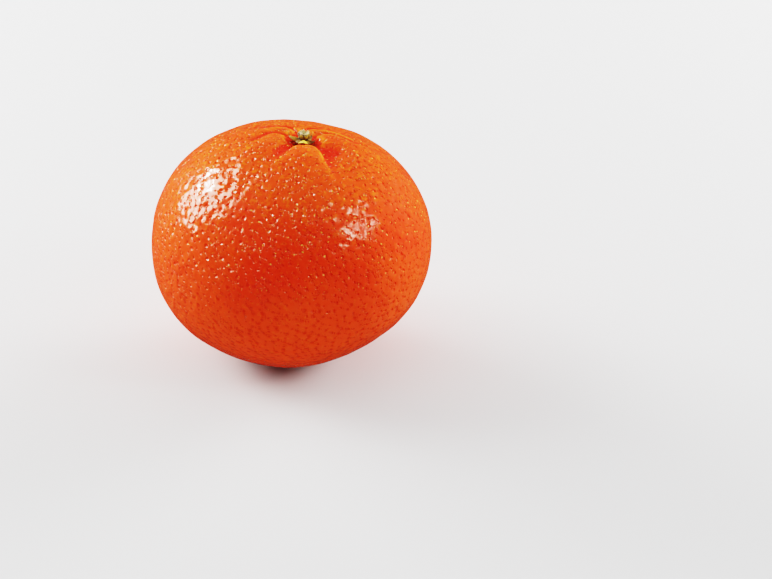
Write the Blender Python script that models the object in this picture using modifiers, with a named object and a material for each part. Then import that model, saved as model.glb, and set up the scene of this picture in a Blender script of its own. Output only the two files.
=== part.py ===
"""A whole ripe mandarin, as picked, resting on the small flat of its blossom end.

The fruit is one solid. At its stem end it carries two small pieces of another tissue:
the calyx, a button with sepal lobes, and the stub of the cut stem that stands on it.
Metres, +Z up. The origin is under the middle of the fruit, on the surface it rests on.
The fruit leans a little towards +X, so its stem end is off the vertical.
"""

import math

import bmesh
import bpy
import numpy as np
from mathutils import Matrix, Vector, noise

MM = 0.001

# The grown body, in its own frame: +Z runs from the blossom end to the stem end
FRUIT_WIDTH = 62 * MM
FRUIT_DEPTH = 60 * MM
FRUIT_HEIGHT = 53.4 * MM
FULLNESS = 2.05  # 2 is an ellipsoid, more is fuller in the shoulders
LEAN = math.radians(5.2)  # about Y, stem end towards +X
REST_FLAT_DEPTH = 0.5 * MM  # how much of the underside is pressed flat
END_RISE = FRUIT_HEIGHT / 8  # each end's own relief is at its full size this far from the equator

# Soft swells and flats of the body: azimuth and angle above the equator in degrees, rise, spread
SWELLS = (
    (170, 50, 0.8 * MM, 0.10),
    (10, 45, 0.5 * MM, 0.12),
    (190, -38, 0.9 * MM, 0.12),
    (-20, -48, -1.9 * MM, 0.15),
    (70, 5, -0.4 * MM, 0.15),
)
LUMP_RISE = 0.35 * MM
LUMP_SPACING = 17 * MM

# The puckered stem end: a dip, and pads of peel parted by creases that run out from the calyx
DIP_DEPTH = 2.6 * MM
DIP_RADIUS = 7.8 * MM
SEAT_RADIUS = 2.9 * MM  # plain floor of the dip, under the calyx
PAD_TOP_RADIUS = 4.7 * MM
CREASE_RUN = 6.5 * MM  # this far outside the pads' tops a crease has swept round and grown soft
SOFTENING = 1.3
# Each crease and the pad that follows it, by rising azimuth: azimuth and sweep in degrees, then
# the pad's rise and reach, how far across the pad its crest lies, and how gently its sides climb
PADS = (
    (46, -44, 0.8 * MM, 6.0 * MM, 0.5, 0.6),
    (90, -74, 0.6 * MM, 6.0 * MM, 0.5, 0.6),
    (110, 46, 0.8 * MM, 6.0 * MM, 0.5, 0.6),
    (157, 34, 0.8 * MM, 9.0 * MM, 0.38, 0.9),
    (240, -3, 1.6 * MM, 8.7 * MM, 0.58, 0.32),
    (306, -9, 0.9 * MM, 10.0 * MM, 0.68, 0.6),
)
# A soft basin in the last pad, beside its crease
BASIN_AZIMUTH = math.radians(326)
BASIN_FROM_AXIS = 7.7 * MM
BASIN_DEPTH = 0.7 * MM
BASIN_RADIUS = 3.2 * MM

# The blossom end: a slight dent round the scar of the fallen flower
DENT_DEPTH = 1.3 * MM
DENT_RADIUS = 2.4 * MM

# The calyx button and the stem stub
GAP = 0.3 * MM
SEPALS = 5
SEPAL_POINTEDNESS = 0.8
SEPAL_TIP_RADIUS = 3.1 * MM
SEPAL_NOTCH_RADIUS = 2.0 * MM
CALYX_THICKNESS = 0.9 * MM
CALYX_CUP = 0.7 * MM  # how far the sepal tips turn up
CALYX_LOCATION = (0, 0, GAP)
STUB_RADIUS = 1.4 * MM
STUB_HEIGHT = 1.2 * MM
STUB_LOCATION = (0, 0, CALYX_THICKNESS + 0.25 * CALYX_CUP + 2 * GAP)  # clear of the cupped button

# Facets
FRUIT_SEGMENTS = 72
FRUIT_RINGS = 54
RING_CROWDING = 0.6  # how much the rings crowd towards both ends, from 0 to 1
CALYX_SEGMENTS = 60
CALYX_RINGS = 12
STUB_SEGMENTS = 24
MERGE_DISTANCE = 0.01 * MM

# Each finish: colour, roughness
PEEL = ((0.86, 0.105, 0.012), 0.35)
CALYX_GREEN = ((0.16, 0.17, 0.03), 0.6)
STEM_WOOD = ((0.30, 0.25, 0.08), 0.7)


def clear_scene():
    for obj in list(bpy.data.objects):
        bpy.data.objects.remove(obj, do_unlink=True)


def finish_material(name, colour, roughness):
    """A Principled BSDF with the piece's colour, roughness and metallic value."""
    material = bpy.data.materials.new(name)
    material.use_nodes = True
    shader = material.node_tree.nodes["Principled BSDF"]
    shader.inputs["Base Color"].default_value = (*colour, 1)
    shader.inputs["Roughness"].default_value = roughness
    shader.inputs["Metallic"].default_value = 0
    material.diffuse_color = (*colour, 1)
    return material


def smooth_step(share):
    share = np.clip(share, 0, 1)
    return share * share * (3 - 2 * share)


def direction(azimuth, above_equator):
    """Unit vector at an azimuth round the stem axis and an angle above the equator, in degrees."""
    turn = math.radians(azimuth)
    rise = math.radians(above_equator)
    return np.array(
        (math.cos(turn) * math.cos(rise), math.sin(turn) * math.cos(rise), math.sin(rise))
    )


def body_radius(directions):
    """Distance from the centre to the plain body, with its swells and lumps."""
    across = np.hypot(directions[:, 0], directions[:, 1]) / (FRUIT_WIDTH / 2)
    along = np.abs(directions[:, 2]) / (FRUIT_HEIGHT / 2)
    radius = (across**FULLNESS + along**FULLNESS) ** (-1 / FULLNESS)
    for azimuth, above_equator, rise, spread in SWELLS:
        nearness = directions @ direction(azimuth, above_equator)
        radius += rise * np.exp((nearness - 1) / spread)
    lump_scale = FRUIT_WIDTH / 2 / LUMP_SPACING
    lumps = [noise.noise(Vector(d) * lump_scale) for d in directions]
    return radius + LUMP_RISE * np.array(lumps)


def pad_relief(from_axis, azimuth):
    """Rise of the pads round the calyx. It is zero along each crease."""
    rise = np.zeros_like(from_axis)
    climb = smooth_step((from_axis - SEAT_RADIUS) / (PAD_TOP_RADIUS - SEAT_RADIUS))
    outside = np.maximum(from_axis - PAD_TOP_RADIUS, 0)
    run = smooth_step(outside / CREASE_RUN)
    for index, (start, sweep, pad_rise, reach, crest, gentleness) in enumerate(PADS):
        next_start, next_sweep = PADS[(index + 1) % len(PADS)][:2]
        width = (next_start - start) % 360 + (next_sweep - sweep) * run
        share = ((np.degrees(azimuth) - start - sweep * run) % 360) / width
        inside = share < 1
        share = np.clip(share, 0, 1)
        # A pad falls away slowly on its wide side and steeply on its narrow one
        side = np.where(share < crest, crest, 1 - crest)
        up_side = np.where(share < crest, share, 1 - share) / side
        across = (up_side * (2 - up_side)) ** (gentleness * (2 * side) ** 3 * (1 + SOFTENING * run))
        rise += inside * pad_rise * across * climb * np.exp(-((outside / reach) ** 2))
    return rise


def stem_end_relief(x, y):
    """Height of the pads, the basin and the dip at a place across the stem axis."""
    from_axis = np.hypot(x, y)
    rise = pad_relief(from_axis, np.arctan2(y, x))
    basin_x = BASIN_FROM_AXIS * math.cos(BASIN_AZIMUTH)
    basin_y = BASIN_FROM_AXIS * math.sin(BASIN_AZIMUTH)
    from_basin = np.hypot(x - basin_x, y - basin_y)
    basin = BASIN_DEPTH * np.exp(-((from_basin / BASIN_RADIUS) ** 2))
    return rise - basin - DIP_DEPTH * np.exp(-((from_axis / DIP_RADIUS) ** 2))


def fruit_surface(directions):
    """Points of the fruit's skin in its own frame, one for each unit direction from its centre."""
    points = directions * body_radius(directions)[:, None]
    points[:, 1] *= FRUIT_DEPTH / FRUIT_WIDTH
    from_axis = np.hypot(points[:, 0], points[:, 1])
    stem_end = smooth_step(points[:, 2] / END_RISE)
    points[:, 2] += stem_end * stem_end_relief(points[:, 0], points[:, 1])
    blossom_end = smooth_step(-points[:, 2] / END_RISE)
    points[:, 2] += blossom_end * DENT_DEPTH * np.exp(-((from_axis / DENT_RADIUS) ** 2))
    return points


def stand_at_rest(points):
    """Leans the fruit, presses its lowest part flat, and puts that flat at z 0 under the middle.

    Returns the points and the matrix from the fruit's own frame to the world.
    """
    lean = Matrix.Rotation(LEAN, 4, "Y")
    points = points @ np.array(lean)[:3, :3].T
    middle = (points.max(axis=0) + points.min(axis=0)) / 2
    floor = points[:, 2].min() + REST_FLAT_DEPTH
    points[:, 2] = np.maximum(points[:, 2], floor)
    shift = Vector((-middle[0], -middle[1], -floor))
    return points + np.array(shift), Matrix.Translation(shift) @ lean


def link_mesh(mesh, name, material, collection):
    mesh.name = name
    mesh.materials.append(material)
    obj = bpy.data.objects.new(name, mesh)
    collection.objects.link(obj)
    return obj


def sphere_cage(segments, rings):
    """A unit UV sphere as a bmesh, and the positions of its points."""
    cage = bmesh.new()
    bmesh.ops.create_uvsphere(cage, u_segments=segments, v_segments=rings, radius=1)
    cage.verts.ensure_lookup_table()
    return cage, np.array([v.co for v in cage.verts], float)


def mesh_from_cage(cage, points):
    for vert, point in zip(cage.verts, points):
        vert.co = point
    bmesh.ops.recalc_face_normals(cage, faces=cage.faces)
    mesh = bpy.data.meshes.new("shape")
    cage.to_mesh(mesh)
    cage.free()
    mesh.shade_smooth()
    return mesh


def make_fruit(collection):
    """The body: a sphere's points, crowded towards its ends and moved out to the skin.

    Returns the matrix from the fruit's own frame to the world.
    """
    cage, points = sphere_cage(FRUIT_SEGMENTS, FRUIT_RINGS)
    polar = np.arccos(np.clip(points[:, 2], -1, 1))
    crowded = polar - RING_CROWDING / 2 * np.sin(2 * polar)
    turn = np.arctan2(points[:, 1], points[:, 0])
    directions = np.column_stack(
        (np.sin(crowded) * np.cos(turn), np.sin(crowded) * np.sin(turn), np.cos(crowded))
    )
    points, to_world = stand_at_rest(fruit_surface(directions))
    mesh = mesh_from_cage(cage, points)
    link_mesh(mesh, "fruit", finish_material("peel", *PEEL), collection)
    return to_world


def seat_height():
    """Height of the dip's floor on the stem axis, in the fruit's own frame."""
    return fruit_surface(np.array(((0.0, 0.0, 1.0),)))[0, 2]


def make_calyx(collection, stem_end):
    """The button: a flattened sphere with its rim drawn out into sepal lobes that turn up."""
    cage, points = sphere_cage(CALYX_SEGMENTS, CALYX_RINGS)
    turn = np.arctan2(points[:, 1], points[:, 0])
    out = np.hypot(points[:, 0], points[:, 1])
    lobe = (0.5 + 0.5 * np.cos(SEPALS * turn)) ** SEPAL_POINTEDNESS
    rim = SEPAL_NOTCH_RADIUS + (SEPAL_TIP_RADIUS - SEPAL_NOTCH_RADIUS) * lobe
    radius = out * rim
    cup = CALYX_CUP * (radius / SEPAL_TIP_RADIUS) ** 2
    half_thickness = CALYX_THICKNESS / 2
    shaped = np.column_stack(
        (
            radius * np.cos(turn),
            radius * np.sin(turn),
            half_thickness + half_thickness * points[:, 2] + cup,
        )
    )
    mesh = mesh_from_cage(cage, shaped)
    calyx = link_mesh(mesh, "calyx", finish_material("calyx_green", *CALYX_GREEN), collection)
    calyx.parent = stem_end
    calyx.location = CALYX_LOCATION


def make_stem_stub(collection, stem_end):
    """The stub: a turned profile, flared at its foot and broken over at the cut."""
    profile = (
        (0, STUB_HEIGHT * 0.86),
        (STUB_RADIUS * 0.55, STUB_HEIGHT * 0.9),
        (STUB_RADIUS * 0.85, STUB_HEIGHT),
        (STUB_RADIUS * 1.0, STUB_HEIGHT * 0.88),
        (STUB_RADIUS * 0.92, STUB_HEIGHT * 0.55),
        (STUB_RADIUS * 0.98, STUB_HEIGHT * 0.25),
        (STUB_RADIUS * 1.15, 0),
        (0, 0),
    )
    mesh = bpy.data.meshes.new("shape")
    edges = [(i, i + 1) for i in range(len(profile) - 1)]
    mesh.from_pydata([(r, 0, z) for r, z in profile], edges, [])
    stub = link_mesh(mesh, "stem_stub", finish_material("stem_wood", *STEM_WOOD), collection)
    turned = stub.modifiers.new("turned", "SCREW")
    turned.steps = STUB_SEGMENTS
    turned.render_steps = STUB_SEGMENTS
    turned.use_merge_vertices = True
    turned.merge_threshold = MERGE_DISTANCE
    stub.parent = stem_end
    stub.location = STUB_LOCATION


def main():
    clear_scene()
    collection = bpy.data.collections.new("mandarin")
    bpy.context.scene.collection.children.link(collection)
    to_world = make_fruit(collection)
    stem_end = bpy.data.objects.new("stem_end", None)
    stem_end.matrix_world = to_world @ Matrix.Translation((0, 0, seat_height()))
    collection.objects.link(stem_end)
    make_calyx(collection, stem_end)
    make_stem_stub(collection, stem_end)


main()
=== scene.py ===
"""The looks of a whole ripe mandarin: its pitted peel, the calyx and the cut stem.

Metres, +Z up. The peel, the calyx button and the stub replace their solids and are worked out from
the solids' own driving dimensions. The fruit's own frame has +Z from the blossom end to the stem end.
"""

import math

import bmesh
import bpy
import numpy as np
from mathutils import Matrix, Vector, noise

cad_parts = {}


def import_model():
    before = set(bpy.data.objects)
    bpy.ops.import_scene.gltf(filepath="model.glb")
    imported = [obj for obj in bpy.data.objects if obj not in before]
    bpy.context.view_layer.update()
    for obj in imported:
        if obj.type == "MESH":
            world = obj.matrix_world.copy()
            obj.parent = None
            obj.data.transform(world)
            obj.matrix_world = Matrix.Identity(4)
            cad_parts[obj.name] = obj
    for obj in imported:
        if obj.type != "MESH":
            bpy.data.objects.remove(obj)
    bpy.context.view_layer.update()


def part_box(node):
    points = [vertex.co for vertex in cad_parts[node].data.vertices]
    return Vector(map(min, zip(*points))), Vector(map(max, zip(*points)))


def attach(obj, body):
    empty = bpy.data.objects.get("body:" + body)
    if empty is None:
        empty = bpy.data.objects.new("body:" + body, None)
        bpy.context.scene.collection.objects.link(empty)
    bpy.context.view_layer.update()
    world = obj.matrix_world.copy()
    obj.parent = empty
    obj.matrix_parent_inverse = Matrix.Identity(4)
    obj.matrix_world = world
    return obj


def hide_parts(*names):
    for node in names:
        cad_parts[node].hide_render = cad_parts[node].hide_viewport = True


MM = 0.001

# The grown body
FRUIT_WIDTH = 62 * MM
FRUIT_DEPTH = 60 * MM
FRUIT_HEIGHT = 53.4 * MM
FULLNESS = 2.05  # 2 is an ellipsoid, more is fuller in the shoulders
LEAN = math.radians(5.2)  # about Y, stem end towards +X
REST_FLAT_DEPTH = 0.5 * MM
END_RISE = FRUIT_HEIGHT / 8  # each end's own relief is at its full size this far from the equator

# Soft swells and flats of the body: azimuth and angle above the equator in degrees, rise, spread
SWELLS = (
    (170, 50, 0.8 * MM, 0.10),
    (10, 45, 0.5 * MM, 0.12),
    (190, -38, 0.9 * MM, 0.12),
    (-20, -48, -1.9 * MM, 0.15),
    (70, 5, -0.4 * MM, 0.15),
)
LUMP_RISE = 0.35 * MM
LUMP_SPACING = 17 * MM
SKIN_RISE = 0.10 * MM  # of the uneven skin over the lumps
SKIN_SPACING = 4.5 * MM

# The puckered stem end: a dip, and pads of peel parted by creases that run out from the calyx
DIP_DEPTH = 2.6 * MM
DIP_RADIUS = 7.8 * MM
SEAT_RADIUS = 2.9 * MM
PAD_TOP_RADIUS = 4.7 * MM
CREASE_RUN = 6.5 * MM  # this far outside the pads' tops a crease has swept round and grown soft
SOFTENING = 1.3
# Each crease and the pad that follows it, by rising azimuth: azimuth and sweep in degrees, then
# the pad's rise and reach, how far across the pad its crest lies, and how gently its sides climb
PADS = (
    (46, -44, 0.8 * MM, 6.0 * MM, 0.5, 0.6),
    (90, -74, 0.6 * MM, 6.0 * MM, 0.5, 0.6),
    (110, 46, 0.8 * MM, 6.0 * MM, 0.5, 0.6),
    (157, 34, 0.8 * MM, 9.0 * MM, 0.38, 0.9),
    (240, -3, 1.6 * MM, 8.7 * MM, 0.58, 0.32),
    (306, -9, 0.9 * MM, 10.0 * MM, 0.68, 0.6),
)
# A soft basin in the last pad, beside its crease
BASIN_AZIMUTH = math.radians(326)
BASIN_FROM_AXIS = 7.7 * MM
BASIN_DEPTH = 0.7 * MM
BASIN_RADIUS = 3.2 * MM
# Painted highlights make the peel yellower on ridges of the stem end, and painted shade makes it
# redder between its pads. Both are told from how far a place stands above the mean height of a ring
# round it
RIDGE_RING = 0.8 * MM
CREASE_RING = 2.6 * MM
RING_SAMPLES = 8
WRINKLE_RISE = 0.16 * MM  # fine furrows that run out from the calyx
WRINKLES_ROUND = 5.5
WRINKLE_REACH = 11 * MM

# The blossom end: a slight dent round the scar of the fallen flower
DENT_DEPTH = 1.3 * MM
DENT_RADIUS = 2.4 * MM
SCAR_RISE = 0.35 * MM
SCAR_RADIUS = 0.8 * MM

# The calyx button, and the narrow gap between it and the fruit
GAP = 0.3 * MM
CALYX_THICKNESS = 0.9 * MM
BUTTON_RADIUS = 1.7 * MM
BUTTON_KEPT_COLOUR = 0.4
# Each sepal: its azimuth in degrees, tip radius, half width in degrees and tip rise, how far its
# tissue has kept its colour (0 is brown and 1 ochre yellow), and the length of its dry spike
SEPALS = (
    (350, 2.5 * MM, 22, 0.5 * MM, 0.1, 0.3 * MM),
    (46, 2.7 * MM, 24, 0.7 * MM, 0.1, 0.4 * MM),
    (104, 2.9 * MM, 23, 0.8 * MM, 0.4, 0.5 * MM),
    (168, 3.3 * MM, 22, 0.8 * MM, 0.72, 1.3 * MM),
    (268, 4.4 * MM, 31, 1.6 * MM, 1.0, 0.1 * MM),
)
LOBE_ROUNDNESS = 1.6
SEPAL_THINNING = 0.55  # the share of its thickness that a sepal loses towards its tip
SEPAL_CURL = 0.8  # less curls a sepal up nearer to its root
CRUMPLE_RISE = 0.16 * MM
CRUMPLES_ACROSS = 4
SPIKE_RADIUS = 0.14 * MM
SPIKE_LEAN = 0.3  # outwards, as a share of the spike's length

# The stem stub: how high its foot stands above the seat, and radius and height at the foot, neck,
# shoulder, rim and pith
STUB_FOOT = GAP + CALYX_THICKNESS + 0.15 * MM
STUB_RIM_HEIGHT = 1.56 * MM
STUB_PROFILE = (
    (0.0, 0.0),
    (1.05 * MM, 0.0),
    (1.00 * MM, 0.25 * MM),
    (1.28 * MM, 0.60 * MM),
    (1.38 * MM, 0.95 * MM),
    (1.28 * MM, 1.30 * MM),
    (1.00 * MM, STUB_RIM_HEIGHT),
    (0.75 * MM, 1.44 * MM),
    (0.0, 1.38 * MM),
)
RIB_SHARE = 0.20  # of the radius
RIBS_ROUND = 2.6
RIB_LENGTH = 1.8 * MM
TEAR_RISE = 0.35 * MM  # of the uneven rim
TEARS_ROUND = 3.4
PITH_RADIUS = 0.95 * MM
PITH_EDGE = 0.3 * MM

# Torn fibres on the stub's rim
FIBRE_COUNT = 46
FIBRE_LENGTH = 0.55 * MM
FIBRE_RADIUS = 0.05 * MM
FIBRE_TIP_SHARE = 0.2  # of the radius
FIBRE_FOOT_DEPTH = 0.12 * MM
FIBRE_SEED = 3
FIBRE_TILTS = ((-0.7, -0.7, 0.0), (0.7, 0.7, 6.2))  # least and most turn about each axis, radians
FIBRE_SCALES = ((0.6, 0.6, 0.15), (1.4, 1.4, 1.2))

# Oil glands: tiny pits spread evenly over the peel
GLAND_SPACING = 1.32 * MM
GLAND_TRIES = 4.0e6  # candidate points to a square metre, thinned to the spacing
GLAND_SEED = 7
GLAND_SIZES = (0.55, 1.25)  # the smallest and the largest, as shares of the sizes below
HOLLOW_RADIUS = 0.72 * MM  # the wide shallow hollow of each gland, in the mesh
HOLLOW_DEPTH = 0.055 * MM
PIT_RADIUS = 0.48 * MM  # the crisp pit in its middle, in the shader
PIT_FLOOR_RADIUS = 0.10 * MM
PIT_DEPTH = 0.18 * MM
PIT_BEND = 0.7 * MM  # scales the noise that bends a pit out of round
DOT_RADIUS = 0.5 * MM  # the red dot over the pit
# A pale fleck of tissue beside each gland, which is also a painted glint
FLECK_AND_GLINT_OFFSET = 2.4 * MM  # scales the noise that sets a pale fleck beside each gland
FLECK_AND_GLINT_RADIUS = 0.21 * MM
CELL_EDGE = (0.55 * MM, 0.75 * MM)  # over these distances from a gland its marks fade out

# The peel's fine relief between the glands, in the shader: height and spacing
SWELL_RISE = 0.32 * MM
SWELL_SPACING = 2.1 * MM
FINE_SWELL_RISE = 0.08 * MM
FINE_SWELL_SPACING = 1.0 * MM
GRAIN_RISE = 0.006 * MM
GRAIN_SPACING = 0.5 * MM

# Colours, as linear red, green and blue
PEEL_RED_ORANGE = (0.87, 0.060, 0.019)
PEEL_ORANGE = (0.90, 0.080, 0.019)
# Painted light: the lower body is lighter and more orange
PEEL_LOW_LIGHT_ORANGE = (0.89, 0.098, 0.026)
# Painted light: the top of the fruit is yellower
PEEL_TOP_LIGHT_ORANGE = (0.93, 0.15, 0.018)
# Random yellow mottle of the peel, also used as painted light
PEEL_MOTTLE_AND_LIGHT = (0.96, 0.23, 0.020)
# Painted shade, deeper red, for the creases between the pads
PEEL_CREASE_SHADE = (0.80, 0.034, 0.016)
# Painted highlight, yellow, for the ridges of the stem end
PEEL_RIDGE_HIGHLIGHT = (0.95, 0.22, 0.026)
# Painted shade, nearly black, for the seat round the calyx
PEEL_SEAT_SHADE = (0.12, 0.03, 0.010)
SCAR_RING_TAN = (0.45, 0.20, 0.05)
SCAR_BROWN = (0.10, 0.05, 0.02)
GLAND_RED = (0.66, 0.032, 0.014)
# Pale tissue and painted glint beside each gland, yellow-white
FLECK_AND_GLINT_YELLOW = (1.0, 0.50, 0.12)
DRY_SEPAL_BROWN = (0.15, 0.055, 0.015)
SEPAL_OLIVE = (0.44, 0.26, 0.04)
SEPAL_OCHRE = (0.80, 0.50, 0.045)
SEPAL_BLOTCH = (0.10, 0.065, 0.012)
BUTTON_BROWN = (0.06, 0.035, 0.010)
SEPAL_EDGE_BROWN = (0.16, 0.08, 0.015)
# Painted shade for the undersides of the sepals
SEPAL_UNDERSIDE_SHADE = (0.05, 0.03, 0.01)
BARK_BROWN = (0.24, 0.12, 0.017)
BARK_GOLD = (0.44, 0.30, 0.04)
BARK_HOLE = (0.07, 0.022, 0.008)
NECK_BROWN = (0.055, 0.025, 0.010)
TORN_WOOD = (0.70, 0.58, 0.24)
PITH_DARK = (0.20, 0.14, 0.03)
PITH_PALE = (0.60, 0.50, 0.20)
FIBRE_TAN = (0.45, 0.36, 0.15)
FIBRE_PALE = (0.85, 0.78, 0.55)

# Facets
PEEL_CUTS = 125
CALYX_ROUND = 240
CALYX_RINGS = 40
STUB_ROUND = 96
STUB_RINGS = 48

# The photograph's camera
IMAGE_SIZE = (772, 579)
LENS = 100.0
SENSOR = 36.0
CAMERA_ELEVATION = math.radians(27.4)
CAMERA_DISTANCE = 0.476
AIM_POINT = (0, 0, 27.2 * MM)
AIM_PIXEL = (292.0, 236.8)  # where that point stands in the photograph

# Soft studio light. Each box: its direction, width and height, the light it sheds on a white card,
# whether it lights matt surfaces, and whether it shows in reflections
LIGHT_DISTANCE = 0.60
SHINE_DISTANCE = 0.54  # of the boxes that show in reflections alone
LIGHTS = {
    "window": ((-0.814, 0.224, 0.536), 0.22, 0.36, 0.66, True, False),
    "window_shine": ((-0.80, 0.25, 0.56), 0.27, 0.42, 1.55, False, True),
    "window_core": ((-0.73, 0.32, 0.60), 0.05, 0.05, 0.4, False, True),
    "front_right": ((0.77, -0.33, 0.53), 0.09, 0.18, 0.24, True, False),
    "front_right_strip": ((0.62, -0.52, 0.59), 0.012, 0.15, 0.11, False, True),
    "right_strip": ((0.74, -0.34, 0.58), 0.014, 0.15, 0.12, False, True),
    "far_right_strip": ((0.84, -0.12, 0.53), 0.012, 0.15, 0.10, False, True),
    "left_fill": ((-0.76, 0.62, 0.20), 0.30, 0.22, 2.10, True, False),
    "right_fill": ((0.82, 0.54, 0.20), 0.30, 0.22, 2.15, True, False),
}
# The fruit stands in a pale tent that is open towards the camera
TENT_GLOW = 0.95
OPENING_GLOW = 0.15
TENT_BACK = (0.0, 0.97, 0.24)
TENT_MOUTH = (-0.75, 0.1)  # along TENT_BACK, where the glow is least and where it is full
TENT_SHEEN = 0.06  # the share of the tent's glow that shows in reflections
FLOOR_WHITENESS = 0.60
FLOOR_HALF_WIDTH = 3


def smooth_step(share):
    share = np.clip(share, 0, 1)
    return share * share * (3 - 2 * share)


def direction(azimuth, above_equator):
    """Unit vector at an azimuth round the stem axis and an angle above the equator, in degrees."""
    turn = math.radians(azimuth)
    rise = math.radians(above_equator)
    return np.array(
        (math.cos(turn) * math.cos(rise), math.sin(turn) * math.cos(rise), math.sin(rise))
    )


def noise_over(points):
    """Perlin noise at each point, one octave."""
    return np.array([noise.noise(Vector(point)) for point in points])


def body_radius(directions):
    """Distance from the centre to the plain body, with its swells and lumps."""
    across = np.hypot(directions[:, 0], directions[:, 1]) / (FRUIT_WIDTH / 2)
    along = np.abs(directions[:, 2]) / (FRUIT_HEIGHT / 2)
    radius = (across**FULLNESS + along**FULLNESS) ** (-1 / FULLNESS)
    for azimuth, above_equator, rise, spread in SWELLS:
        nearness = directions @ direction(azimuth, above_equator)
        radius += rise * np.exp((nearness - 1) / spread)
    radius += LUMP_RISE * noise_over(directions * (FRUIT_WIDTH / 2 / LUMP_SPACING))
    return radius


def pad_relief(from_axis, azimuth):
    """Rise of the pads round the calyx. It is zero along each crease."""
    rise = np.zeros_like(from_axis)
    climb = smooth_step((from_axis - SEAT_RADIUS) / (PAD_TOP_RADIUS - SEAT_RADIUS))
    outside = np.maximum(from_axis - PAD_TOP_RADIUS, 0)
    run = smooth_step(outside / CREASE_RUN)
    for index, (start, sweep, pad_rise, reach, crest, gentleness) in enumerate(PADS):
        next_start, next_sweep = PADS[(index + 1) % len(PADS)][:2]
        width = (next_start - start) % 360 + (next_sweep - sweep) * run
        share = ((np.degrees(azimuth) - start - sweep * run) % 360) / width
        inside = share < 1
        share = np.clip(share, 0, 1)
        # A pad falls away slowly on its wide side and steeply on its narrow one
        side = np.where(share < crest, crest, 1 - crest)
        up_side = np.where(share < crest, share, 1 - share) / side
        across = (up_side * (2 - up_side)) ** (gentleness * (2 * side) ** 3 * (1 + SOFTENING * run))
        rise += inside * pad_rise * across * climb * np.exp(-((outside / reach) ** 2))
    return rise


def stem_end_relief(x, y):
    """Height of the pads, the basin and the dip at a place across the stem axis."""
    from_axis = np.hypot(x, y)
    rise = pad_relief(from_axis, np.arctan2(y, x))
    basin_x = BASIN_FROM_AXIS * math.cos(BASIN_AZIMUTH)
    basin_y = BASIN_FROM_AXIS * math.sin(BASIN_AZIMUTH)
    from_basin = np.hypot(x - basin_x, y - basin_y)
    basin = BASIN_DEPTH * np.exp(-((from_basin / BASIN_RADIUS) ** 2))
    return rise - basin - DIP_DEPTH * np.exp(-((from_axis / DIP_RADIUS) ** 2))


def bulge(x, y, reach):
    """How far the stem end's relief stands above its mean on a ring of this radius."""
    turns = np.linspace(0, 2 * math.pi, RING_SAMPLES, endpoint=False)
    ring = [stem_end_relief(x + reach * math.cos(t), y + reach * math.sin(t)) for t in turns]
    return stem_end_relief(x, y) - np.mean(ring, axis=0)


def fruit_surface(directions):
    """Points of the skin in the fruit's own frame, and what the peel's colour reads at each point."""
    points = directions * body_radius(directions)[:, None]
    points[:, 1] *= FRUIT_DEPTH / FRUIT_WIDTH
    from_axis = np.hypot(points[:, 0], points[:, 1])
    stem_end = smooth_step(points[:, 2] / END_RISE)
    relief = stem_end_relief(points[:, 0], points[:, 1])
    ridge = bulge(points[:, 0], points[:, 1], RIDGE_RING)
    hollow = -bulge(points[:, 0], points[:, 1], CREASE_RING)
    points[:, 2] += stem_end * relief
    blossom_end = smooth_step(-points[:, 2] / END_RISE)
    points[:, 2] += blossom_end * DENT_DEPTH * np.exp(-((from_axis / DENT_RADIUS) ** 2))
    # In millimetres. In the half of the other end, an end's axis counts as a metre away
    traits = {
        "ridge": stem_end * ridge / MM,
        "hollow": stem_end * hollow / MM,
        "from_stem": np.where(stem_end > 0, from_axis / MM, 1 / MM),
        "from_scar": np.where(blossom_end > 0, from_axis / MM, 1 / MM),
    }
    return points, traits


def add_fine_relief(points, directions):
    """The uneven skin, the furrows round the calyx and the nub of the blossom scar."""
    from_axis = np.hypot(points[:, 0], points[:, 1])
    azimuth = np.arctan2(points[:, 1], points[:, 0])
    skin = SKIN_RISE * noise_over(points / SKIN_SPACING)
    furrow_place = np.column_stack(
        (
            np.cos(azimuth) * WRINKLES_ROUND,
            np.sin(azimuth) * WRINKLES_ROUND,
            from_axis / (3 * SKIN_SPACING),
        )
    )
    near_calyx = smooth_step(from_axis / SEAT_RADIUS) * np.exp(-((from_axis / WRINKLE_REACH) ** 4))
    stem_end = smooth_step(points[:, 2] / END_RISE)
    furrows = WRINKLE_RISE * near_calyx * stem_end * noise_over(furrow_place)
    blossom_end = smooth_step(-points[:, 2] / END_RISE)
    nub = SCAR_RISE * blossom_end * np.exp(-((from_axis / SCAR_RADIUS) ** 4))
    return points + directions * (skin + furrows + nub)[:, None]


def seat_height():
    """Height of the dip's floor on the stem axis, in the fruit's own frame."""
    points, _ = fruit_surface(np.array(((0.0, 0.0, 1.0),)))
    return points[0, 2]


def stand_at_rest(points, fruit_box):
    """Leans the fruit, presses its lowest part flat and centres it in the solid's box.

    Returns the points and the matrix from the fruit's own frame to the world.
    """
    lean = Matrix.Rotation(LEAN, 4, "Y")
    points = points @ np.array(lean)[:3, :3].T
    middle = (points.max(axis=0) + points.min(axis=0)) / 2
    floor = points[:, 2].min() + REST_FLAT_DEPTH
    points[:, 2] = np.maximum(points[:, 2], floor)
    low, high = fruit_box
    shift = Vector(((low.x + high.x) / 2 - middle[0], (low.y + high.y) / 2 - middle[1], low.z - floor))
    return points + np.array(shift), Matrix.Translation(shift) @ lean


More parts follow.
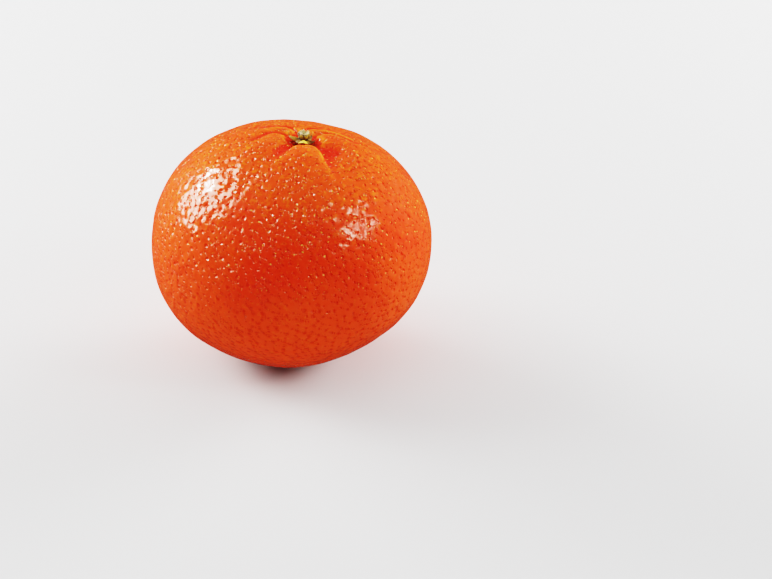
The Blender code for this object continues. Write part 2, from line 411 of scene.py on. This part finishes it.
class Value:
    """An output socket. Arithmetic on it adds Math nodes to the same tree."""

    def __init__(self, graph, socket):
        self.graph = graph
        self.socket = socket

    def __add__(self, other):
        return self.graph.maths("ADD", self, other)

    def __radd__(self, other):
        return self.graph.maths("ADD", other, self)

    def __sub__(self, other):
        return self.graph.maths("SUBTRACT", self, other)

    def __rsub__(self, other):
        return self.graph.maths("SUBTRACT", other, self)

    def __mul__(self, other):
        return self.graph.maths("MULTIPLY", self, other)

    def __rmul__(self, other):
        return self.graph.maths("MULTIPLY", other, self)

    def __truediv__(self, other):
        return self.graph.maths("DIVIDE", self, other)

    def twin(self, name):
        """Another output of the same node."""
        return Value(self.graph, self.socket.node.outputs[name])


class Graph:
    """A node tree under construction."""

    def __init__(self, tree):
        self.tree = tree

    def add(self, kind, settings=None, sockets=None, output=0):
        """Adds a node: its settings first, then a value or a link for each named socket."""
        node = self.tree.nodes.new(kind)
        for name, setting in (settings or {}).items():
            setattr(node, name, setting)
        for name, value in (sockets or {}).items():
            if isinstance(value, Value):
                self.tree.links.new(value.socket, node.inputs[name])
            else:
                node.inputs[name].default_value = value
        return Value(self, node.outputs[output]) if len(node.outputs) else node

    def maths(self, operation, first, second):
        return self.add("ShaderNodeMath", {"operation": operation}, {0: first, 1: second})

    def between(self, value, start, end, at_start=0.0, at_end=1.0):
        """A smooth step of the value from one end to the other."""
        sockets = {"Value": value, "From Min": start, "From Max": end, "To Min": at_start, "To Max": at_end}
        return self.add("ShaderNodeMapRange", {"interpolation_type": "SMOOTHSTEP"}, sockets)

    def mix(self, factor, first, second):
        """A mix of two colours. Plain numbers are taken as linear red, green and blue."""
        colours = [c if isinstance(c, Value) else (*c, 1) for c in (first, second)]
        sockets = {0: factor, 6: colours[0], 7: colours[1]}
        return self.add("ShaderNodeMix", {"data_type": "RGBA"}, sockets, output=2)

    def offset(self, noise_colour, reach):
        """A vector that three noises turn and stretch, up to about half of the reach."""
        sockets = {0: noise_colour, 1: (0.5, 0.5, 0.5)}
        centred = self.add("ShaderNodeVectorMath", {"operation": "SUBTRACT"}, sockets)
        return self.add("ShaderNodeVectorMath", {"operation": "SCALE"}, {0: centred, "Scale": reach})

    def moved(self, place, offset):
        return self.add("ShaderNodeVectorMath", {"operation": "ADD"}, {0: place, 1: offset})

    def distance(self, place, other):
        sockets = {0: place, 1: other}
        return self.add("ShaderNodeVectorMath", {"operation": "DISTANCE"}, sockets, output="Value")

    def noise(self, place, size, detail=2.0, roughness=0.5):
        """Noise whose patches are about this size in metres."""
        sockets = {"Vector": place, "Scale": 1 / size, "Detail": detail, "Roughness": roughness}
        return self.add("ShaderNodeTexNoise", None, sockets)

    def noise_colour(self, place, size):
        """Three noises at once, as a colour."""
        return self.add("ShaderNodeTexNoise", None, {"Vector": place, "Scale": 1 / size}, output="Color")

    def trait(self, name, output="Fac"):
        return self.add("ShaderNodeAttribute", {"attribute_name": name}, output=output)


def new_material(name):
    """A material with its tree, and its Principled BSDF."""
    material = bpy.data.materials.new(name)
    material.use_nodes = True
    return material, Graph(material.node_tree), material.node_tree.nodes["Principled BSDF"]


def connect(graph, value, shader, socket):
    graph.tree.links.new(value.socket, shader.inputs[socket])


def bump(graph, height):
    """A normal from a height in metres."""
    return graph.add("ShaderNodeBump", None, {"Height": height, "Strength": 1.0, "Distance": 1.0})


def peel_material():
    """Orange peel: red-dotted pits, pale flecks with painted glints, painted ridge highlights and crease
    shade.
    """
    material, graph, shader = new_material("peel")
    place = graph.add("ShaderNodeTexCoord", output="Object")
    gland_place = graph.trait("gland_place", "Vector")
    # A gland is never quite round, so the place is bent a little before its distance is taken
    bent_place = graph.moved(place, graph.offset(graph.noise_colour(place, 1.0 * MM), PIT_BEND))
    # Near the line between two glands the interpolated place is no gland's, so it is left out
    own_cell = graph.between(graph.trait("gland_distance"), *CELL_EDGE, 1.0, 0.0)
    gland_size = graph.trait("gland_size")
    from_gland = graph.distance(bent_place, gland_place) / gland_size
    pit = own_cell * graph.between(from_gland, PIT_FLOOR_RADIUS, PIT_RADIUS, 1.0, 0.0)
    dot = own_cell * graph.between(from_gland, 0.2 * DOT_RADIUS, DOT_RADIUS, 1.0, 0.0)
    # The noise at each gland picks the side that its pale fleck and painted glint lie on
    aside = graph.offset(graph.noise_colour(gland_place, 1.0 * MM), FLECK_AND_GLINT_OFFSET)
    to_fleck_and_glint = graph.distance(bent_place, graph.moved(gland_place, aside))
    fleck_and_glint = own_cell * graph.between(to_fleck_and_glint / gland_size, 0.08 * MM, FLECK_AND_GLINT_RADIUS, 1.0, 0.0)

    patches = graph.between(graph.noise(place, 14 * MM, 3.0), 0.35, 0.65)
    colour = graph.mix(patches, PEEL_RED_ORANGE, PEEL_ORANGE)
    height = graph.add("ShaderNodeSeparateXYZ", None, {0: place}, output=2)
    # Painted light: lighter and more orange towards the bottom
    lit_bottom = graph.between(height, 16 * MM, 34 * MM, 1.0, 0.0)
    colour = graph.mix(lit_bottom * 0.75, colour, PEEL_LOW_LIGHT_ORANGE)
    # Painted light: yellower towards the top
    lit_top = graph.between(height, 32 * MM, 53 * MM)
    colour = graph.mix(lit_top * 0.20, colour, PEEL_TOP_LIGHT_ORANGE)
    swell = graph.noise(place, SWELL_SPACING, 0.0)
    # Yellow mottle: random blotches of tone, partly following the crests of the swell as a painted
    # highlight, and stronger towards the top as painted light
    blotches = graph.noise(place, 0.8 * MM, 2.0, 0.6) * 0.8 + swell * 0.2
    mottle_and_light = graph.between(blotches, 0.52, 0.66)
    colour = graph.mix(mottle_and_light * (0.12 + 0.36 * lit_top), colour, PEEL_MOTTLE_AND_LIGHT)
    # The stem end's and the scar's traits are in millimetres
    # Painted shade: redder in the creases between the pads
    hollow = graph.between(graph.trait("hollow"), 0.00, 0.30)
    colour = graph.mix(hollow * 0.85, colour, PEEL_CREASE_SHADE)
    # Painted highlight: yellower on the ridges of the stem end
    ridge = graph.between(graph.trait("ridge"), 0.01, 0.15)
    colour = graph.mix(ridge * 0.75, colour, PEEL_RIDGE_HIGHLIGHT)
    # Painted shade: the peel in the seat round the calyx, under the sepals, is nearly black
    from_stem = graph.trait("from_stem")
    colour = graph.mix(graph.between(from_stem, 2.3, 3.4, 0.9, 0.0), colour, PEEL_SEAT_SHADE)
    from_scar = graph.trait("from_scar")
    colour = graph.mix(graph.between(from_scar, 0.7, 2.2, 0.8, 0.0), colour, SCAR_RING_TAN)
    colour = graph.mix(graph.between(from_scar, 0.5, 0.9, 0.9, 0.0), colour, SCAR_BROWN)
    colour = graph.mix(dot * 0.5, colour, GLAND_RED)
    # The largest glands of the upper body have the clearest pale flecks and painted glints, which show on
    # the upper body alone, where the light falls
    fleck_and_glint = fleck_and_glint * graph.between(gland_size, 0.65, 1.1, 0.1, 0.85)
    colour = graph.mix(fleck_and_glint * graph.between(height, 24 * MM, 38 * MM), colour, FLECK_AND_GLINT_YELLOW)
    connect(graph, colour, shader, "Base Color")

    grain = graph.noise(place, GRAIN_SPACING, 3.0, 0.6)
    connect(graph, 0.10 + 0.08 * grain, shader, "Roughness")
    fine_swell = graph.noise(place, FINE_SWELL_SPACING, 0.0)
    relief = swell * SWELL_RISE + fine_swell * FINE_SWELL_RISE + grain * GRAIN_RISE - pit * PIT_DEPTH
    connect(graph, bump(graph, relief), shader, "Normal")
    shader.inputs["IOR"].default_value = 1.6
    shader.inputs["Specular Tint"].default_value = (1.0, 0.84, 0.68, 1)
    shader.inputs["Subsurface Weight"].default_value = 0.25
    shader.inputs["Subsurface Radius"].default_value = (1.0, 0.25, 0.08)
    shader.inputs["Subsurface Scale"].default_value = 4 * MM
    return material


def calyx_material():
    """Dry plant tissue: brown round the stem and along the edges, olive to ochre on the sepals, with
    painted shade on their undersides.
    """
    material, graph, shader = new_material("calyx_green")
    place = graph.add("ShaderNodeTexCoord", output="Object")
    kept_colour = graph.trait("kept_colour")
    colour = graph.mix(graph.between(kept_colour, 0.0, 0.5), DRY_SEPAL_BROWN, SEPAL_OLIVE)
    colour = graph.mix(graph.between(kept_colour, 0.6, 1.0), colour, SEPAL_OCHRE)
    patches = graph.between(graph.noise(place, 0.7 * MM, 4.0, 0.6), 0.45, 0.65)
    colour = graph.mix(patches * 0.45, colour, SEPAL_BLOTCH)
    outward = graph.trait("outward")
    colour = graph.mix(graph.between(outward, 0.35, 0.60, 0.85, 0.0), colour, BUTTON_BROWN)
    colour = graph.mix(graph.between(outward, 0.95, 1.0, 0.0, 0.5), colour, SEPAL_EDGE_BROWN)
    # Painted shade: the undersides are darker
    colour = graph.mix(graph.trait("underside") * 0.4, colour, SEPAL_UNDERSIDE_SHADE)
    connect(graph, colour, shader, "Base Color")
    grain = graph.noise(place, 0.18 * MM, 3.0, 0.6)
    connect(graph, 0.5 + 0.2 * grain, shader, "Roughness")
    connect(graph, bump(graph, grain * (0.05 * MM)), shader, "Normal")
    return material


def stem_material():
    """The cut stem: dark neck, golden-brown bark with dark holes, pale torn rim and a soft pith."""
    material, graph, shader = new_material("stem_wood")
    place = graph.add("ShaderNodeTexCoord", output="Object")
    up = graph.trait("up_stub")
    streaks = graph.between(graph.trait("streak"), -0.5, 0.5)
    bark = graph.mix(streaks, BARK_BROWN, BARK_GOLD)
    holes = graph.between(graph.noise(place, 0.55 * MM, 2.0, 0.5), 0.47, 0.56)
    bark = graph.mix(holes * 0.85, bark, BARK_HOLE)
    colour = graph.mix(graph.between(up, 0.10, 0.40, 1.0, 0.0), bark, NECK_BROWN)
    torn = graph.between(up, 0.88, 1.0)
    colour = graph.mix(torn * 0.9, colour, TORN_WOOD)
    specks = graph.between(graph.noise(place, 0.25 * MM, 3.0, 0.7), 0.4, 0.6)
    pith = graph.mix(specks, PITH_DARK, PITH_PALE)
    colour = graph.mix(graph.trait("pith"), colour, pith)
    connect(graph, colour, shader, "Base Color")
    grain = graph.noise(place, 0.16 * MM, 3.0, 0.6)
    connect(graph, 0.5 + 0.2 * grain, shader, "Roughness")
    connect(graph, bump(graph, grain * (0.06 * MM) - holes * (0.12 * MM)), shader, "Normal")
    return material


def fibre_material():
    """Torn wood fibre, tan to nearly white."""
    material, graph, shader = new_material("stem_fibre")
    place = graph.add("ShaderNodeTexCoord", output="Object")
    tone = graph.between(graph.noise(place, 0.5 * MM, 2.0), 0.4, 0.6)
    connect(graph, graph.mix(tone, FIBRE_TAN, FIBRE_PALE), shader, "Base Color")
    connect(graph, 0.5 + 0.1 * tone, shader, "Roughness")
    return material


def new_piece(mesh, name, material=None):
    """An object for a mesh, at the origin."""
    mesh.name = name
    mesh.shade_smooth()
    if material:
        mesh.materials.append(material)
    piece = bpy.data.objects.new(name, mesh)
    bpy.context.scene.collection.objects.link(piece)
    return piece


def set_traits(mesh, traits):
    """Stores numbers, one for each point, for the material to read."""
    for name, numbers in traits.items():
        trait = mesh.attributes.new(name, "FLOAT", "POINT")
        trait.data.foreach_set("value", np.asarray(numbers, np.float32))


def set_inputs(modifier, values):
    """Sets a Geometry Nodes modifier's inputs, which are given by name, through their identifiers."""
    for item in modifier.node_group.interface.items_tree:
        if item.name in values and item.in_out == "INPUT":
            modifier[item.identifier] = values[item.name]


def applied(piece, tree, values):
    """Runs a Geometry Nodes tree on a piece and keeps its result as the piece's plain mesh."""
    modifier = piece.modifiers.new(tree.name, "NODES")
    modifier.node_group = tree
    set_inputs(modifier, values)
    graph = bpy.context.evaluated_depsgraph_get()
    made = bpy.data.meshes.new_from_object(
        piece.evaluated_get(graph), preserve_all_data_layers=True, depsgraph=graph
    )
    piece.modifiers.clear()
    piece.data = made
    made.name = piece.name
    return piece


def new_tree(name, inputs):
    """An empty Geometry Nodes tree with a geometry in and out and these inputs, and its group input."""
    tree = bpy.data.node_groups.new(name, "GeometryNodeTree")
    tree.interface.new_socket("Geometry", in_out="INPUT", socket_type="NodeSocketGeometry")
    for input_name, kind in inputs:
        tree.interface.new_socket(input_name, in_out="INPUT", socket_type=kind)
    tree.interface.new_socket("Geometry", in_out="OUTPUT", socket_type="NodeSocketGeometry")
    graph = Graph(tree)
    entry = tree.nodes.new("NodeGroupInput")
    return graph, lambda input_name: Value(graph, entry.outputs[input_name])


def end_tree(graph, geometry, material):
    """Closes a tree with Realize Instances and Set Material."""
    plain = graph.add("GeometryNodeRealizeInstances", None, {"Geometry": geometry})
    dressed = graph.add("GeometryNodeSetMaterial", None, {"Geometry": plain, "Material": material})
    graph.add("NodeGroupOutput", None, {"Geometry": dressed})
    return graph.tree


def oil_gland_tree():
    """Spreads oil glands evenly over a skin, sinks a shallow hollow at each, and stores where it is."""
    graph, given = new_tree(
        "oil glands",
        (
            ("Spacing", "NodeSocketFloat"),
            ("Tries", "NodeSocketFloat"),
            ("Seed", "NodeSocketInt"),
            ("Hollow Radius", "NodeSocketFloat"),
            ("Hollow Depth", "NodeSocketFloat"),
            ("Material", "NodeSocketMaterial"),
        ),
    )
    sockets = {
        "Mesh": given("Geometry"),
        "Distance Min": given("Spacing"),
        "Density Max": given("Tries"),
        "Seed": given("Seed"),
    }
    glands = graph.add("GeometryNodeDistributePointsOnFaces", {"distribute_method": "POISSON"}, sockets)
    nearest = graph.add("GeometryNodeProximity", {"target_element": "POINTS"}, {0: glands})
    distance = nearest.twin("Distance")
    index = graph.add("GeometryNodeSampleNearest", {"domain": "POINT"}, {"Geometry": glands})
    sockets = {2: GLAND_SIZES[0], 3: GLAND_SIZES[1], "ID": index, "Seed": given("Seed")}
    size = graph.add("FunctionNodeRandomValue", {"data_type": "FLOAT"}, sockets, output=1)
    depth = graph.between(distance, 0.0, given("Hollow Radius"), 1.0, 0.0) * given("Hollow Depth") * size
    geometry = given("Geometry")
    for name, kind, value in (
        ("gland_place", "FLOAT_VECTOR", nearest),
        ("gland_distance", "FLOAT", distance),
        ("gland_size", "FLOAT", size),
    ):
        settings = {"data_type": kind, "domain": "POINT"}
        sockets = {"Geometry": geometry, "Name": name, "Value": value}
        geometry = graph.add("GeometryNodeStoreNamedAttribute", settings, sockets)
    sockets = {0: graph.add("GeometryNodeInputNormal"), "Scale": 0 - depth}
    inward = graph.add("ShaderNodeVectorMath", {"operation": "SCALE"}, sockets)
    geometry = graph.add("GeometryNodeSetPosition", None, {"Geometry": geometry, "Offset": inward})
    return end_tree(graph, geometry, given("Material"))


def make_peel(fruit_box):
    """The peel: a cube's grid blown up to the skin, with its oil glands.

    Returns the piece and the matrix from the fruit's own frame to the world.
    """
    cage = bmesh.new()
    bmesh.ops.create_cube(cage, size=2)
    bmesh.ops.subdivide_edges(cage, edges=cage.edges[:], cuts=PEEL_CUTS, use_grid_fill=True)
    # Equal angles between the grid's lines keep its squares about the same size on the skin
    directions = np.tan(np.array([v.co for v in cage.verts], float) * math.pi / 4)
    directions /= np.linalg.norm(directions, axis=1)[:, None]
    points, traits = fruit_surface(directions)
    points, to_world = stand_at_rest(add_fine_relief(points, directions), fruit_box)
    for vert, point in zip(cage.verts, points):
        vert.co = point
    mesh = bpy.data.meshes.new("peel")
    cage.to_mesh(mesh)
    cage.free()
    set_traits(mesh, traits)
    peel = new_piece(mesh, "peel")
    values = {
        "Spacing": GLAND_SPACING,
        "Tries": GLAND_TRIES,
        "Seed": GLAND_SEED,
        "Hollow Radius": HOLLOW_RADIUS,
        "Hollow Depth": HOLLOW_DEPTH,
        "Material": peel_material(),
    }
    return applied(peel, oil_gland_tree(), values), to_world


def sphere_cage(segments, rings):
    """A unit UV sphere as a bmesh, and the positions of its points."""
    cage = bmesh.new()
    bmesh.ops.create_uvsphere(cage, u_segments=segments, v_segments=rings, radius=1)
    return cage, np.array([v.co for v in cage.verts], float)


def mesh_from_cage(cage, points, to_world):
    """Moves the cage's points to these places, given in the stem end's frame, and makes a mesh."""
    for vert, point in zip(cage.verts, points):
        vert.co = to_world @ Vector(point)
    bmesh.ops.recalc_face_normals(cage, faces=cage.faces)
    mesh = bpy.data.meshes.new("shape")
    cage.to_mesh(mesh)
    cage.free()
    return mesh


def add_spike(cage, foot, tip):
    """A thin dry spike from foot to tip."""
    along = tip - foot
    turn = along.to_track_quat("Z", "Y").to_matrix().to_4x4()
    matrix = Matrix.Translation((foot + tip) / 2) @ turn
    bmesh.ops.create_cone(
        cage,
        segments=8,
        radius1=SPIKE_RADIUS,
        radius2=SPIKE_RADIUS / 8,
        depth=along.length,
        cap_ends=True,
        matrix=matrix,
    )


def make_calyx(stem_end):
    """The button: a flattened sphere whose rim is drawn out into curled sepals, each of its own size."""
    cage, points = sphere_cage(CALYX_ROUND, CALYX_RINGS)
    turn = np.degrees(np.arctan2(points[:, 1], points[:, 0]))
    out = np.hypot(points[:, 0], points[:, 1])
    rim = np.full_like(out, BUTTON_RADIUS)
    tip_rise = np.zeros_like(out)
    kept_colour = np.full_like(out, BUTTON_KEPT_COLOUR)
    for azimuth, tip_radius, half_width, rise, colour, _ in SEPALS:
        aside = np.abs((turn - azimuth + 180) % 360 - 180) / half_width
        lobe = np.clip(1 - aside**LOBE_ROUNDNESS, 0, 1)
        rim += (tip_radius - BUTTON_RADIUS) * lobe
        tip_rise += rise * lobe
        kept_colour += (colour - BUTTON_KEPT_COLOUR) * smooth_step(lobe * 2)
    radius = out * rim
    # The sepals begin at half the button's radius, and have their full curl at twice it
    sepal = np.clip((radius - 0.5 * BUTTON_RADIUS) / (1.5 * BUTTON_RADIUS), 0, 1)
    crumple_place = np.column_stack((points[:, :2] * CRUMPLES_ACROSS, points[:, 2] * CRUMPLES_ACROSS / 2))
    height = GAP + CALYX_THICKNESS / 2 * (1 + points[:, 2] * (1 - SEPAL_THINNING * sepal))
    height += tip_rise * sepal**SEPAL_CURL + CRUMPLE_RISE * noise_over(crumple_place) * out
    shaped = np.column_stack(
        (radius * np.cos(np.radians(turn)), radius * np.sin(np.radians(turn)), height)
    )
    mesh = mesh_from_cage(cage, shaped, stem_end)
    set_traits(mesh, {"outward": out, "underside": points[:, 2] < -0.15, "kept_colour": kept_colour})
    return new_piece(mesh, "calyx_button", calyx_material())


def make_sepal_tips(stem_end):
    """The dry spike that stands at each sepal's tip."""
    cage = bmesh.new()
    for azimuth, tip_radius, _, rise, _, length in SEPALS:
        outward = Vector(direction(azimuth, 0))
        foot = outward * (tip_radius - SPIKE_RADIUS) + Vector((0, 0, GAP + CALYX_THICKNESS / 2 + rise))
        add_spike(cage, foot, foot + outward * (SPIKE_LEAN * length) + Vector((0, 0, length)))
    cage.transform(stem_end)
    mesh = bpy.data.meshes.new("shape")
    cage.to_mesh(mesh)
    cage.free()
    return new_piece(mesh, "sepal_tips", bpy.data.materials["calyx_green"])


def turned_profile(share):
    """Radius and height along the stub's profile, from its foot's middle to its pith."""
    corners = np.array(STUB_PROFILE)
    lengths = np.concatenate(([0], np.cumsum(np.hypot(*np.diff(corners, axis=0).T))))
    lengths /= lengths[-1]
    return np.interp(share, lengths, corners[:, 0]), np.interp(share, lengths, corners[:, 1])


def make_stub(stem_end):
    """The stub: a turned profile, ribbed and uneven, torn at the cut."""
    cage, points = sphere_cage(STUB_ROUND, STUB_RINGS)
    share = np.arccos(np.clip(-points[:, 2], -1, 1)) / math.pi
    turn = np.arctan2(points[:, 1], points[:, 0])
    radius, height = turned_profile(share)
    east = np.cos(turn)
    north = np.sin(turn)
    ribs = noise_over(np.column_stack((east * RIBS_ROUND, north * RIBS_ROUND, height / RIB_LENGTH)))
    tall = height / STUB_RIM_HEIGHT
    radius *= 1 + RIB_SHARE * ribs * np.minimum(tall * 3, 1)
    torn = noise_over(np.column_stack((east * TEARS_ROUND, north * TEARS_ROUND, share * 3)))
    height += TEAR_RISE * torn * smooth_step((tall - 0.5) / 0.5)
    shaped = np.column_stack((radius * east, radius * north, height + STUB_FOOT))
    at_pith = smooth_step((PITH_RADIUS - radius) / PITH_EDGE) * (share > 0.5)
    mesh = mesh_from_cage(cage, shaped, stem_end)
    set_traits(mesh, {"up_stub": tall, "pith": at_pith, "streak": ribs})
    return new_piece(mesh, "stub", stem_material())


def cut_fibre_tree():
    """Stands thin fibres, each bent and sized at random, on a ring."""
    graph, given = new_tree(
        "cut fibres",
        (
            ("Count", "NodeSocketInt"),
            ("Ring Radius", "NodeSocketFloat"),
            ("Length", "NodeSocketFloat"),
            ("Radius", "NodeSocketFloat"),
            ("Seed", "NodeSocketInt"),
            ("Material", "NodeSocketMaterial"),
        ),
    )
    sockets = {"Vertices": given("Count"), "Radius": given("Ring Radius")}
    ring = graph.add("GeometryNodeMeshCircle", None, sockets)
    sockets = {
        "Vertices": 6,
        "Side Segments": 3,
        "Radius Top": given("Radius") * FIBRE_TIP_SHARE,
        "Radius Bottom": given("Radius"),
        "Depth": given("Length"),
    }
    fibre = graph.add("GeometryNodeMeshCone", None, sockets)
    sockets = {0: FIBRE_TILTS[0], 1: FIBRE_TILTS[1], "Seed": given("Seed")}
    tilt = graph.add("FunctionNodeRandomValue", {"data_type": "FLOAT_VECTOR"}, sockets)
    sockets = {0: FIBRE_SCALES[0], 1: FIBRE_SCALES[1], "Seed": given("Seed") + 1}
    scale = graph.add("FunctionNodeRandomValue", {"data_type": "FLOAT_VECTOR"}, sockets)
    sockets = {"Points": ring, "Instance": fibre, "Rotation": tilt, "Scale": scale}
    fibres = graph.add("GeometryNodeInstanceOnPoints", None, sockets)
    return end_tree(graph, fibres, given("Material"))


def make_fibres(stem_end):
    """The torn fibres that stand on the cut's rim."""
    fibres = new_piece(bpy.data.meshes.new("fibres"), "stub_fibres")
    values = {
        "Count": FIBRE_COUNT,
        "Ring Radius": PITH_RADIUS,
        "Length": FIBRE_LENGTH,
        "Radius": FIBRE_RADIUS,
        "Seed": FIBRE_SEED,
        "Material": fibre_material(),
    }
    fibres = applied(fibres, cut_fibre_tree(), values)
    rim_height = STUB_FOOT + STUB_RIM_HEIGHT - FIBRE_FOOT_DEPTH
    fibres.data.transform(stem_end @ Matrix.Translation((0, 0, rim_height)))
    return fibres


def make_floor():
    """A plain pale floor, many times as wide as the fruit."""
    cage = bmesh.new()
    bmesh.ops.create_grid(cage, x_segments=1, y_segments=1, size=FLOOR_HALF_WIDTH)
    mesh = bpy.data.meshes.new("floor")
    cage.to_mesh(mesh)
    cage.free()
    material, _, shader = new_material("pale_floor")
    shader.inputs["Base Color"].default_value = (FLOOR_WHITENESS,) * 3 + (1,)
    shader.inputs["Roughness"].default_value = 0.7
    floor = new_piece(mesh, "floor", material)
    floor.visible_glossy = False


def add_light(name, towards, width, height, brightness, lights_matt, mirrored):
    """A soft box that faces the fruit and lights matt surfaces, shows in reflections, or both."""
    light = bpy.data.lights.new(name, "AREA")
    light.shape = "RECTANGLE"
    light.size = width
    light.size_y = height
    distance = LIGHT_DISTANCE if lights_matt else SHINE_DISTANCE
    light.energy = brightness * (math.pi * distance) ** 2
    box = bpy.data.objects.new(name, light)
    box.visible_camera = False
    box.visible_diffuse = lights_matt
    box.visible_transmission = lights_matt
    box.visible_glossy = mirrored
    bpy.context.scene.collection.objects.link(box)
    towards = Vector(towards).normalized()
    turn = towards.to_track_quat("Z", "Y").to_matrix().to_4x4()
    box.matrix_world = Matrix.Translation(Vector(AIM_POINT) + towards * distance) @ turn


def make_light():
    """Soft boxes round the fruit, in a pale tent whose open side is nearly dark."""
    for name, settings in LIGHTS.items():
        add_light(name, *settings)
    world = bpy.data.worlds.new("tent")
    world.use_nodes = True
    graph = Graph(world.node_tree)
    way = graph.add("ShaderNodeTexCoord", output="Generated")
    sockets = {0: way, 1: TENT_BACK}
    backward = graph.add("ShaderNodeVectorMath", {"operation": "DOT_PRODUCT"}, sockets, output="Value")
    glow = graph.between(backward, *TENT_MOUTH, OPENING_GLOW, TENT_GLOW)
    in_reflection = graph.add("ShaderNodeLightPath", output="Is Glossy Ray")
    glow = glow * (1 - in_reflection * (1 - TENT_SHEEN))
    connect(graph, glow, world.node_tree.nodes["Background"], "Strength")
    world.node_tree.nodes["Background"].inputs["Color"].default_value = (1, 1, 1, 1)
    bpy.context.scene.world = world
    bpy.context.scene.view_settings.view_transform = "Filmic"
    bpy.context.scene.view_settings.look = "Very High Contrast"


def make_camera():
    """The photograph's camera. It looks past the fruit, which stands left of the frame's middle."""
    lens = bpy.data.cameras.new("camera")
    lens.lens = LENS
    lens.sensor_width = SENSOR
    lens.clip_start = 0.01
    camera = bpy.data.objects.new("camera", lens)
    bpy.context.scene.collection.objects.link(camera)
    back = Vector((0, -math.cos(CAMERA_ELEVATION), math.sin(CAMERA_ELEVATION)))
    pixels = LENS / SENSOR * IMAGE_SIZE[0]
    yaw = math.atan((IMAGE_SIZE[0] / 2 - AIM_PIXEL[0]) / pixels)
    pitch = math.atan((IMAGE_SIZE[1] / 2 - AIM_PIXEL[1]) / pixels)
    turn = (-back).to_track_quat("-Z", "Y").to_matrix().to_4x4()
    turn = turn @ Matrix.Rotation(-yaw, 4, "Y") @ Matrix.Rotation(-pitch, 4, "X")
    camera.matrix_world = Matrix.Translation(Vector(AIM_POINT) + back * CAMERA_DISTANCE) @ turn
    bpy.context.scene.camera = camera


def dress(piece, nodes):
    """The piece stands for these nodes and moves with the fruit."""
    if nodes:
        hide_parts(*nodes)
    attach(piece, "root")


def main():
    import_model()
    make_camera()
    make_light()
    make_floor()
    peel, to_world = make_peel(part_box("fruit"))
    dress(peel, ["fruit"])
    stem_end = to_world @ Matrix.Translation((0, 0, seat_height()))
    dress(make_calyx(stem_end), ["calyx"])
    dress(make_sepal_tips(stem_end), [])
    dress(make_stub(stem_end), ["stem_stub"])
    dress(make_fibres(stem_end), [])


main()
